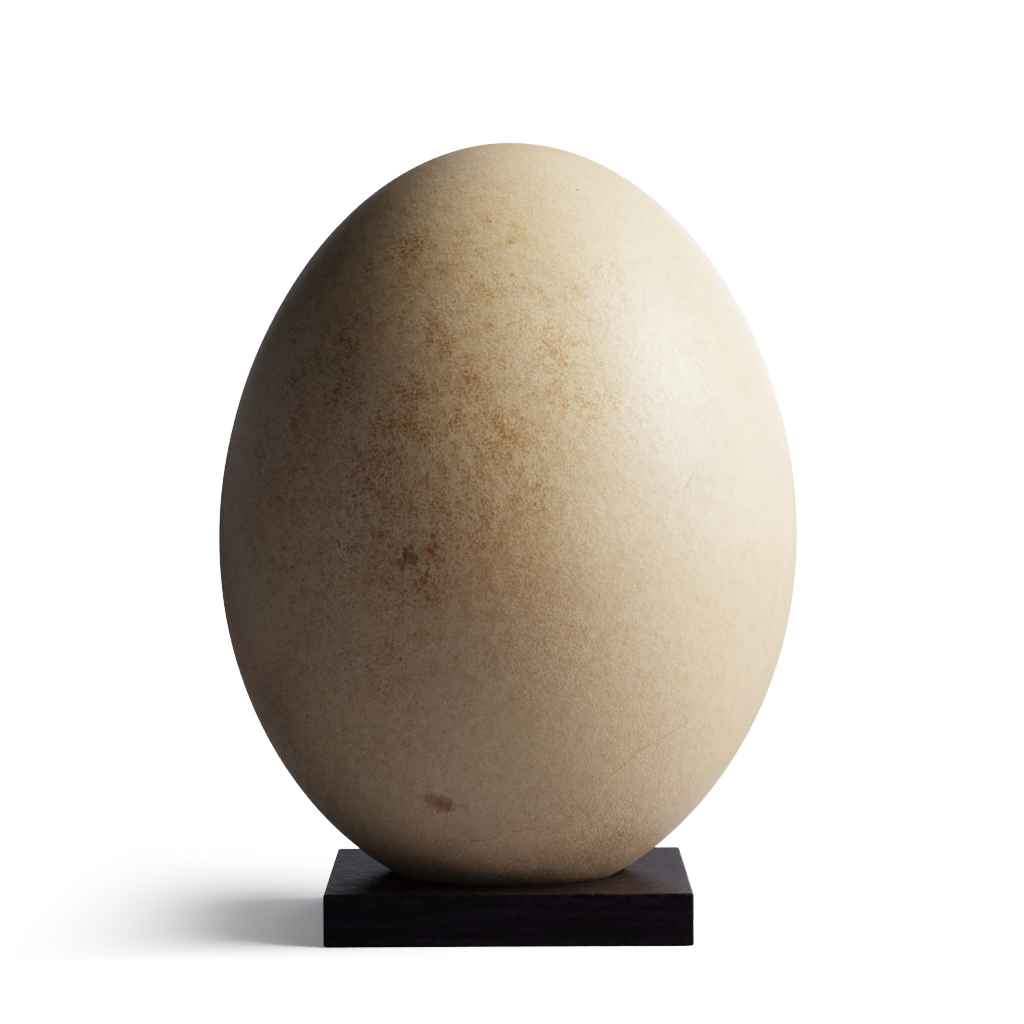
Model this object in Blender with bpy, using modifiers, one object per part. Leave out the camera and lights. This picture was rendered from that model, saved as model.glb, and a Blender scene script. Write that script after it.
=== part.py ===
# Elephant bird egg standing in the dished top of a small square wooden base.
# Metres, +Z up. The origin is the middle of the base's underside, and the front faces -Y.

from math import acos, cos, pi, radians, sin

import bpy

# The egg, measured along its own axis
EGG_LENGTH = 0.2974
EGG_WIDTH = 0.2260  # at half its length
# Changes of girth towards the ends: the first narrows the pointed end and fills the blunt
# one, the second slims both, and the third takes a little of the first back near the poles.
EGG_TAPER = (-0.039, -0.043, 0.020)
EGG_RINGS = 40

# How the egg stands in the base
EGG_LEAN = radians(1.1)  # towards +X
EGG_SHIFT = 0.0004  # the egg's middle lies this far towards +X
SEAT_DEPTH = 0.0121  # from the base's top down to the egg's blunt end
SEAT_GAP = 0.0004  # between the blunt end and the dish

# The base
BASE_SIDE = 0.140
BASE_THICKNESS = 0.0202
ARRIS_RADIUS = 0.0009
ARRIS_SEGMENTS = 3
DISH_RIM_RADIUS = 0.0454
DISH_RINGS = 8
CUTTER_RISE = 0.004  # how far the cutter stands above the base's top

TURNED_STEPS = 72
POLE_MERGE = 0.00001


def new_collection(name):
    collection = bpy.data.collections.new(name)
    bpy.context.scene.collection.children.link(collection)
    return collection


def new_material(name, color, roughness):
    material = bpy.data.materials.new(name)
    material.use_nodes = True
    shader = material.node_tree.nodes["Principled BSDF"]
    shader.inputs["Base Color"].default_value = (*color, 1.0)
    shader.inputs["Roughness"].default_value = roughness
    shader.inputs["Metallic"].default_value = 0.0
    return material


def shell_material():
    return new_material("Shell", (0.62, 0.50, 0.36), 0.45)


def wood_material():
    return new_material("Ebonised wood", (0.020, 0.017, 0.021), 0.38)


def add_turned(name, profile, collection):
    # The profile lies at +X in the XZ plane and runs down from the top pole to the bottom one.
    mesh = bpy.data.meshes.new(name)
    points = [(x, 0.0, z) for x, z in profile]
    edges = [(i, i + 1) for i in range(len(points) - 1)]
    mesh.from_pydata(points, edges, [])
    turned = bpy.data.objects.new(name, mesh)
    collection.objects.link(turned)
    screw = turned.modifiers.new("Turn", "SCREW")
    screw.axis = "Z"
    screw.angle = 2.0 * pi
    screw.steps = TURNED_STEPS
    screw.render_steps = TURNED_STEPS
    screw.use_merge_vertices = True
    screw.merge_threshold = POLE_MERGE
    screw.use_smooth_shade = True
    return turned


def egg_radius(angle):
    # The angle runs from -90 degrees at the blunt end to +90 at the pointed one.
    height = sin(angle)
    first, second, third = EGG_TAPER
    swell = 1.0 + first * height + second * height**2 + third * height**3
    return 0.5 * EGG_WIDTH * cos(angle) * swell


def egg_profile():
    half_length = 0.5 * EGG_LENGTH
    profile = [(0.0, half_length)]
    for ring in range(1, EGG_RINGS):
        angle = pi * (0.5 - ring / EGG_RINGS)
        profile.append((egg_radius(angle), half_length * sin(angle)))
    profile.append((0.0, -half_length))
    return profile


def add_egg(collection):
    egg = add_turned("egg", egg_profile(), collection)
    egg.location = (EGG_SHIFT, 0.0, BASE_THICKNESS - SEAT_DEPTH + 0.5 * EGG_LENGTH)
    egg.rotation_euler.y = EGG_LEAN
    egg.data.materials.append(shell_material())
    return egg


def dish_profile():
    # A spherical bowl through the dish's lowest point and its rim, carried on past the base's top.
    depth = SEAT_DEPTH + SEAT_GAP
    sphere_radius = (DISH_RIM_RADIUS**2 + depth**2) / (2.0 * depth)
    lip_angle = acos(1.0 - (depth + CUTTER_RISE) / sphere_radius)
    bottom = BASE_THICKNESS - depth
    profile = [(0.0, BASE_THICKNESS + CUTTER_RISE)]
    for ring in range(DISH_RINGS + 1):
        angle = lip_angle * (1.0 - ring / DISH_RINGS)
        rise = sphere_radius * (1.0 - cos(angle))
        profile.append((sphere_radius * sin(angle), bottom + rise))
    return profile


def add_dish_cutter(collection):
    cutter = add_turned("dish_cutter", dish_profile(), collection)
    cutter.hide_render = True
    cutter.display_type = "WIRE"
    return cutter


def add_base(collection, cutter):
    bpy.ops.mesh.primitive_cube_add(size=1.0, location=(0.0, 0.0, 0.5 * BASE_THICKNESS))
    base = bpy.context.active_object
    base.name = "base"
    base.data.name = "base"
    for vertex in base.data.vertices:
        vertex.co.x *= BASE_SIDE
        vertex.co.y *= BASE_SIDE
        vertex.co.z *= BASE_THICKNESS
    for holder in base.users_collection:
        holder.objects.unlink(base)
    collection.objects.link(base)
    arris = base.modifiers.new("Arris", "BEVEL")
    arris.width = ARRIS_RADIUS
    arris.segments = ARRIS_SEGMENTS
    dish = base.modifiers.new("Dish", "BOOLEAN")
    dish.operation = "DIFFERENCE"
    dish.object = cutter
    base.data.materials.append(wood_material())
    return base


def main():
    for old in list(bpy.data.objects):
        bpy.data.objects.remove(old)
    parts = new_collection("ElephantBirdEgg")
    cutters = new_collection("Cutters")
    add_egg(parts)
    add_base(parts, add_dish_cutter(cutters))


main()
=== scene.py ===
# Elephant bird egg resting in its dished, ebonised block: the finish of both pieces, and a plain studio.
# Metres, +Z up. The front faces -Y.

from math import asin, cos, pi, radians, sin, tan

import bpy
import numpy as np
from mathutils import Matrix, Vector


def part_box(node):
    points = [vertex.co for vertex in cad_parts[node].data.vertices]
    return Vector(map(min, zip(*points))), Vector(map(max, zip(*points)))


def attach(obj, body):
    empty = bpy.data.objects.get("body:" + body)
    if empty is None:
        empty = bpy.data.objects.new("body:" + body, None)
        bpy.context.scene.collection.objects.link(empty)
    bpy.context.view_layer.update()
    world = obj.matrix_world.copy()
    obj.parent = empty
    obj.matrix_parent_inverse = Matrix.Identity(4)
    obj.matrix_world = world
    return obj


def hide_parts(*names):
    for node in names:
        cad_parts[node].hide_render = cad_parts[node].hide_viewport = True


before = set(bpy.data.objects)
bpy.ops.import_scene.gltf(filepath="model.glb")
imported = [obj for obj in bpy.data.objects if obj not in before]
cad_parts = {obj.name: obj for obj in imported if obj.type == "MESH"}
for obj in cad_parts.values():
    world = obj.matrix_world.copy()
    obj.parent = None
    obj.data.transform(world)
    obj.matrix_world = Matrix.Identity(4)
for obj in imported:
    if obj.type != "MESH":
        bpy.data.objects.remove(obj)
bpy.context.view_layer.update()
print("frame loaded:", ", ".join(sorted(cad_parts)))

# The camera, as fitted to the photograph's outline of the egg and the corners of the block
cameraPlan = {
    "place": Vector((0.0020, -1.6698, 0.2402)),
    "lookDown": radians(2.711),
    "roll": radians(0.283),
    "lens": 149.94,  # millimetres
    "sensor": 36.0,  # millimetres
    "frameSide": 1024,  # pixels
}


def cameraTurn():
    # Its columns are the camera's right, the way it looks, and its up
    tilt = Matrix.Rotation(-cameraPlan["lookDown"], 3, "X")
    return tilt @ Matrix.Rotation(cameraPlan["roll"], 3, "Y")


def addCamera():
    data = bpy.data.cameras.new("camera")
    data.lens = cameraPlan["lens"]
    data.sensor_width = cameraPlan["sensor"]
    camera = bpy.data.objects.new("camera", data)
    turn = cameraTurn() @ Matrix.Rotation(radians(90), 3, "X")
    camera.matrix_world = Matrix.Translation(cameraPlan["place"]) @ turn.to_4x4()
    bpy.context.scene.collection.objects.link(camera)
    bpy.context.scene.camera = camera


def seenAt(piece, pixel):
    # The place and the outward direction on a piece where the camera sees it at a pixel of the photograph
    focal = cameraPlan["lens"] / cameraPlan["sensor"] * cameraPlan["frameSide"]
    middle = cameraPlan["frameSide"] / 2
    across = (pixel[0] - middle) / focal
    down = (pixel[1] - middle) / focal
    ray = cameraTurn() @ Vector((across, 1.0, -down))
    hit, place, outward, face = piece.ray_cast(cameraPlan["place"], ray.normalized())
    if not hit:
        raise ValueError(f"pixel {pixel} misses {piece.name}")
    return place, outward


def aroundAt(piece, azimuth, height):
    # The place on a piece at an azimuth, in degrees from the front towards +X, and at a height
    outward = Matrix.Rotation(radians(azimuth), 3, "Z") @ Vector((0.0, -1.0, 0.0))
    hit, place, normal, face = piece.ray_cast(Vector((0.0, 0.0, height)) + outward, -outward)
    if not hit:
        raise ValueError(f"nothing at azimuth {azimuth} and height {height} on {piece.name}")
    return place


addCamera()
print("camera placed")


# Helpers for node trees, for shapes and materials alike
def addNode(tree, kind, feeds=None, **settings):
    # Its settings come first, then each input is given a value or a link
    node = tree.nodes.new(kind)
    for setting, value in settings.items():
        setattr(node, setting, value)
    for socket, value in (feeds or {}).items():
        if isinstance(value, bpy.types.NodeSocket):
            tree.links.new(value, node.inputs[socket])
        else:
            node.inputs[socket].default_value = value
    return node


def sums(tree, operation, *values, clamp=False):
    feeds = dict(enumerate(values))
    return addNode(tree, "ShaderNodeMath", feeds, operation=operation, use_clamp=clamp).outputs[0]


def vectorSums(tree, operation, *values, out="Vector"):
    feeds = dict(enumerate(values))
    return addNode(tree, "ShaderNodeVectorMath", feeds, operation=operation).outputs[out]


def scaled(tree, vector, factor):
    return addNode(tree, "ShaderNodeVectorMath", {0: vector, "Scale": factor}, operation="SCALE").outputs[0]


def eased(tree, value, start, stop, low=0.0, high=1.0):
    # Runs smoothly from low to high as the value goes from start to stop
    feeds = {"Value": value, "From Min": start, "From Max": stop, "To Min": low, "To Max": high}
    return addNode(tree, "ShaderNodeMapRange", feeds, interpolation_type="SMOOTHSTEP").outputs["Result"]


def mixed(tree, share, first, second, blend="MIX"):
    # Two colours, the second one taking its share
    feeds = {0: share, 6: first, 7: second}
    return addNode(tree, "ShaderNodeMix", feeds, data_type="RGBA", blend_type=blend).outputs[2]


def cloudy(tree, place, size, detail=2.0, roughness=0.5, out="Fac"):
    # Soft noise whose lumps are about this size, in the units of place
    feeds = {"Vector": place, "Scale": 1.0 / size, "Detail": detail, "Roughness": roughness}
    feeds["Lacunarity"] = 2.17  # not quite 2, so that the layers' grids never line up
    return addNode(tree, "ShaderNodeTexNoise", feeds).outputs[out]


def newTree(name, kind, taken, given):
    # A tree with named sockets: taken holds each input's type and value, given each output's type
    tree = bpy.data.node_groups.new(name, kind)
    for label, (socketKind, value) in taken.items():
        socket = tree.interface.new_socket(label, in_out="INPUT", socket_type="NodeSocket" + socketKind)
        if value is not None:
            socket.default_value = value
    for label, socketKind in given.items():
        tree.interface.new_socket(label, in_out="OUTPUT", socket_type="NodeSocket" + socketKind)
    return tree, tree.nodes.new("NodeGroupInput").outputs, tree.nodes.new("NodeGroupOutput").inputs


def placed(tree, group, feeds):
    # One use of a shader node group
    return addNode(tree, "ShaderNodeGroup", feeds, node_tree=group).outputs


def surfaced(tree, shader, colour, height, depth, rough):
    # Ends a material: its colour, its bump with the depth in metres, and its roughness
    feeds = {"Height": height, "Strength": 1.0, "Distance": depth}
    bump = addNode(tree, "ShaderNodeBump", feeds).outputs["Normal"]
    for socket, value in (("Base Color", colour), ("Normal", bump), ("Roughness", rough)):
        tree.links.new(value, shader.inputs[socket])


def newMaterial(name):
    material = bpy.data.materials.new(name)
    material.use_nodes = True
    tree = material.node_tree
    shader = tree.nodes["Principled BSDF"]
    place = addNode(tree, "ShaderNodeTexCoord").outputs["Object"]
    return material, tree, shader, scaled(tree, place, 1000.0)  # patterns are laid out in millimetres


# Effects as node groups. The shell and the wood share the specks. Places are in millimetres.
def specksGroup():
    # Small round or ragged dots, one to a cell, and only in a share of the cells
    taken = {
        "Place": ("Vector", None),
        "Cell": ("Float", 2.0),
        "Radius": ("Float", 0.4),
        "Share": ("Float", 1.0),
        "Raggedness": ("Float", 0.3),
        "Softness": ("Float", 0.2),
    }
    tree, start, end = newTree("specks", "ShaderNodeTree", taken, {"Mask": "Float"})
    raggedScale = sums(tree, "DIVIDE", 0.7, start["Radius"])  # lumps of about a dot's width
    feeds = {"Vector": start["Place"], "Scale": raggedScale, "Detail": 1.0}
    ragged = addNode(tree, "ShaderNodeTexNoise", feeds)
    push = vectorSums(tree, "SUBTRACT", ragged.outputs["Color"], (0.5, 0.5, 0.5))
    pushed = vectorSums(tree, "ADD", start["Place"], scaled(tree, push, start["Raggedness"]))
    cellScale = sums(tree, "DIVIDE", 1.0, start["Cell"])
    cells = addNode(tree, "ShaderNodeTexVoronoi", {"Vector": pushed, "Scale": cellScale})
    away = sums(tree, "MULTIPLY", cells.outputs["Distance"], start["Cell"])
    dice = addNode(tree, "ShaderNodeSeparateColor", {"Color": cells.outputs["Color"]}).outputs
    spread = sums(tree, "MULTIPLY_ADD", dice["Red"], 0.9, 0.55)  # radii from 0.55 to 1.45 of the middle one
    radius = sums(tree, "MULTIPLY", start["Radius"], spread)
    inside = sums(tree, "DIVIDE", sums(tree, "SUBTRACT", radius, away), start["Softness"], clamp=True)
    there = sums(tree, "LESS_THAN", dice["Green"], start["Share"])
    tree.links.new(sums(tree, "MULTIPLY", inside, there), end["Mask"])
    return tree


def spotGroup():
    # One ragged spot about a centre. Wander is a soft noise that several spots can share.
    taken = {
        "Place": ("Vector", None),
        "Wander": ("Float", 0.5),
        "Centre": ("Vector", (0.0, 0.0, 0.0)),
        "Radius": ("Float", 3.0),
        "Raggedness": ("Float", 1.2),
        "Softness": ("Float", 0.4),
    }
    tree, start, end = newTree("spot", "ShaderNodeTree", taken, {"Mask": "Float"})
    away = vectorSums(tree, "DISTANCE", start["Place"], start["Centre"], out="Value")
    share = sums(tree, "DIVIDE", away, start["Radius"])
    wander = sums(tree, "SUBTRACT", start["Wander"], 0.5)
    ragged = sums(tree, "MULTIPLY_ADD", wander, start["Raggedness"], share)
    inner = sums(tree, "SUBTRACT", 1.0, start["Softness"])
    tree.links.new(eased(tree, ragged, 1.0, inner), end["Mask"])
    return tree


def streakGroup():
    # A fine mark between two ends, which wavers a little and breaks up along its length
    taken = {
        "Place": ("Vector", None),
        "Wander": ("Float", 0.5),
        "Middle": ("Vector", (0.0, 0.0, 0.0)),
        "Side": ("Vector", (0.0, 0.0, 1.0)),
        "Length": ("Float", 20.0),
        "Width": ("Float", 0.5),
        "Waver": ("Float", 1.5),
    }
    tree, start, end = newTree("streak", "ShaderNodeTree", taken, {"Mask": "Float"})
    offset = vectorSums(tree, "SUBTRACT", start["Place"], start["Middle"])
    wander = sums(tree, "SUBTRACT", start["Wander"], 0.5)
    sideways = vectorSums(tree, "DOT_PRODUCT", offset, start["Side"], out="Value")
    bent = sums(tree, "MULTIPLY_ADD", wander, start["Waver"], sideways)
    across = eased(tree, sums(tree, "DIVIDE", sums(tree, "ABSOLUTE", bent), start["Width"]), 1.0, 0.1)
    reach = sums(tree, "DIVIDE", vectorSums(tree, "LENGTH", offset, out="Value"), start["Length"])
    broken = eased(tree, start["Wander"], 0.34, 0.52, 0.25, 1.0)  # faint where the noise is low
    along = sums(tree, "MULTIPLY", eased(tree, reach, 0.52, 0.38), broken)  # fades out at half its length
    tree.links.new(sums(tree, "MULTIPLY", across, along), end["Mask"])
    return tree


specks = specksGroup()
spot = spotGroup()
streak = streakGroup()

# The egg, in part.py's driving sizes, and its slight unevenness
eggPlan = {
    "Length": 0.2974,
    "Width": 0.2260,
    "Pear": -0.039,  # narrows the pointed end and fills the blunt one
    "Slimness": -0.043,  # slims both ends
    "Tip return": 0.020,  # takes a little of the first back near the poles
    "Lean": radians(1.1),  # towards +X
    "Shift": 0.0004,  # towards +X
    "Stand": 0.1568,  # height of the egg's middle
    "Swell height": 0.00022,
    "Swell size": 0.045,
    "Ripple height": 0.00005,
    "Ripple size": 0.007,
    "Grid": 129,  # points along each edge of the cube that the ball is made from
    "Front bias": 0.25,  # draws the mesh a little finer towards the front
}

# Dents in the shell, by the photograph's pixel: radius and depth in metres
dentEdge = {"lumps": 0.0022, "waver": 0.0018}
dentPlan = {
    "large scar": {"pixel": (408, 559), "radius": 0.0036, "depth": 0.00050},
    "large scar foot": {"pixel": (411, 566), "radius": 0.0022, "depth": 0.00025},
    "low scar": {"pixel": (435, 802), "radius": 0.0038, "depth": 0.00040},
    "low scar end": {"pixel": (444, 802), "radius": 0.0026, "depth": 0.00025},
    "chip": {"pixel": (427, 797), "radius": 0.0014, "depth": 0.00012},
    "pinhole": {"pixel": (577, 190), "radius": 0.0012, "depth": 0.00025},
}


def eggTree(dents):
    taken = {label: ("Float", value) for label, value in eggPlan.items()}
    taken["Grid"] = ("Int", eggPlan["Grid"])
    taken["Shell"] = ("Material", None)
    for label in dents:
        taken[label + " centre"] = ("Vector", None)
        taken[label + " radius"] = ("Float", 0.003)
        taken[label + " depth"] = ("Float", 0.0003)
    tree, start, end = newTree("egg rule", "GeometryNodeTree", taken, {"Geometry": "Geometry"})
    grid = {"Vertices " + axis: start["Grid"] for axis in "XYZ"}
    cube = addNode(tree, "GeometryNodeMeshCube", {"Size": (2.0, 2.0, 2.0), **grid}).outputs["Mesh"]

    # The cube's points are spread evenly over a ball, then drawn a little to the front
    corner = addNode(tree, "GeometryNodeInputPosition").outputs[0]
    ball = vectorSums(tree, "NORMALIZE", vectorSums(tree, "TANGENT", scaled(tree, corner, pi / 4)))
    toFront = scaled(tree, (0.0, -1.0, 0.0), start["Front bias"])
    ball = vectorSums(tree, "NORMALIZE", vectorSums(tree, "ADD", ball, toFront))

    # Girth follows a cubic in the height, from -1 at the blunt end to 1 at the pointed one
    parts = addNode(tree, "ShaderNodeSeparateXYZ", {0: ball}).outputs
    girth = sums(tree, "MULTIPLY_ADD", start["Tip return"], parts["Z"], start["Slimness"])
    girth = sums(tree, "MULTIPLY_ADD", girth, parts["Z"], start["Pear"])
    girth = sums(tree, "MULTIPLY_ADD", girth, parts["Z"], 1.0)
    girth = sums(tree, "MULTIPLY", sums(tree, "MULTIPLY", girth, start["Width"]), 0.5)
    rise = sums(tree, "MULTIPLY", sums(tree, "MULTIPLY", parts["Z"], start["Length"]), 0.5)
    across = sums(tree, "MULTIPLY", parts["X"], girth)
    deep = sums(tree, "MULTIPLY", parts["Y"], girth)
    surface = addNode(tree, "ShaderNodeCombineXYZ", {"X": across, "Y": deep, "Z": rise}).outputs[0]
    egg = addNode(tree, "GeometryNodeSetPosition", {"Geometry": cube, "Position": surface}).outputs[0]
    lean = addNode(tree, "ShaderNodeCombineXYZ", {"Y": start["Lean"]}).outputs[0]
    stand = addNode(tree, "ShaderNodeCombineXYZ", {"X": start["Shift"], "Z": start["Stand"]}).outputs[0]
    feeds = {"Geometry": egg, "Translation": stand, "Rotation": lean}
    egg = addNode(tree, "GeometryNodeTransform", feeds).outputs[0]

    # Slow swellings, small ripples and the dents, along the surface's own outward direction
    place = addNode(tree, "GeometryNodeInputPosition").outputs[0]
    relief = 0.0
    for label, detail in (("Swell", 0.0), ("Ripple", 2.0)):
        fineness = sums(tree, "DIVIDE", 1.0, start[label + " size"])
        feeds = {"Vector": place, "Scale": fineness, "Detail": detail}
        bumps = addNode(tree, "ShaderNodeTexNoise", feeds).outputs[0]
        bumps = sums(tree, "MULTIPLY", sums(tree, "SUBTRACT", bumps, 0.5), 2.0)
        relief = sums(tree, "MULTIPLY_ADD", bumps, start[label + " height"], relief)
    rough = cloudy(tree, place, dentEdge["lumps"])
    for label in dents:
        away = vectorSums(tree, "DISTANCE", place, start[label + " centre"], out="Value")
        away = sums(tree, "MULTIPLY_ADD", sums(tree, "SUBTRACT", rough, 0.5), dentEdge["waver"], away)
        bowl = eased(tree, away, start[label + " radius"], 0.0)
        relief = sums(tree, "SUBTRACT", relief, sums(tree, "MULTIPLY", bowl, start[label + " depth"]))
    outward = addNode(tree, "GeometryNodeInputNormal").outputs[0]
    feeds = {"Geometry": egg, "Offset": scaled(tree, outward, relief)}
    egg = addNode(tree, "GeometryNodeSetPosition", feeds).outputs[0]
    egg = addNode(tree, "GeometryNodeSetShadeSmooth", {"Geometry": egg}).outputs[0]
    egg = addNode(tree, "GeometryNodeRealizeInstances", {"Geometry": egg}).outputs[0]
    egg = addNode(tree, "GeometryNodeSetMaterial", {"Geometry": egg, "Material": start["Shell"]}).outputs[0]
    tree.links.new(egg, end["Geometry"])
    return tree


def makeEgg(material):
    piece = bpy.data.objects.new("eggShell", bpy.data.meshes.new("eggShell"))
    bpy.context.scene.collection.objects.link(piece)
    values = {**eggPlan, "Shell": material}
    for label, dent in dentPlan.items():
        values[label + " centre"] = seenAt(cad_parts["egg"], dent["pixel"])[0]
        values[label + " radius"] = dent["radius"]
        values[label + " depth"] = dent["depth"]
    rule = piece.modifiers.new("egg rule", "NODES")
    rule.node_group = eggTree(dentPlan)
    for socket in rule.node_group.interface.items_tree:
        if socket.in_out == "INPUT":
            rule[socket.identifier] = values[socket.name]
    reading = bpy.context.evaluated_depsgraph_get()
    made = piece.evaluated_get(reading)
    shaped = bpy.data.meshes.new_from_object(made, preserve_all_data_layers=True, depsgraph=reading)
    piece.modifiers.clear()
    piece.data = shaped
    shaped.name = "eggShell"
    bpy.context.view_layer.update()
    return piece


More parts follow.
